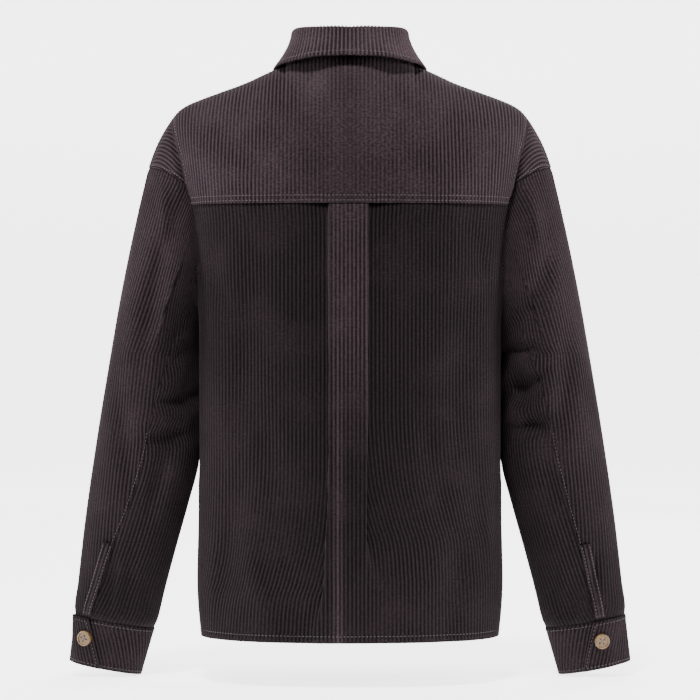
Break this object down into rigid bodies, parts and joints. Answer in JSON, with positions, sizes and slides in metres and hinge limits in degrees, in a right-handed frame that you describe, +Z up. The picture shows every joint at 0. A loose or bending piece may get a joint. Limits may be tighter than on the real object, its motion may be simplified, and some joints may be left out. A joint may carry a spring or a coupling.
{
  "type": "shacket",
  "caption": "Wide-wale corduroy shacket, filled out with no wearer: shirt collar, back yoke over a box pleat, dropped shoulders, long sleeves with buttoned cuffs, straight hem.",
  "frame": {"origin": "base of the neck, on the centre line between the inner ends of the shoulders, where a wearer, a form or a hanger carries the garment", "axes": "+Z up, +Y to the wearer's front (the pictured back faces -Y), +X to the wearer's right"},
  "size_m": [0.6632, 0.2572, 0.7555],
  "materials": {
    "cloth": "wide-wale cotton corduroy, dark plum brown, soft sheen on the pile",
    "button": "horn-like, polished"
  },
  "bodies": {
    "root": {"back_panel": "cloth", "yoke": "cloth", "front_right": "cloth", "front_left": "cloth", "collar_stand": "cloth", "collar_fall": "cloth", "sleeve_upper_right": "cloth", "sleeve_under_right": "cloth", "sleeve_placket_right": "cloth", "cuff_right": "cloth", "sleeve_upper_left": "cloth", "sleeve_under_left": "cloth", "sleeve_placket_left": "cloth", "cuff_left": "cloth", "front_button_1": "button", "front_button_2": "button", "front_button_3": "button", "front_button_4": "button", "front_button_5": "button", "front_button_6": "button", "stand_button": "button", "cuff_button_right": "button", "cuff_button_left": "button"}
  },
  "joints": []
}
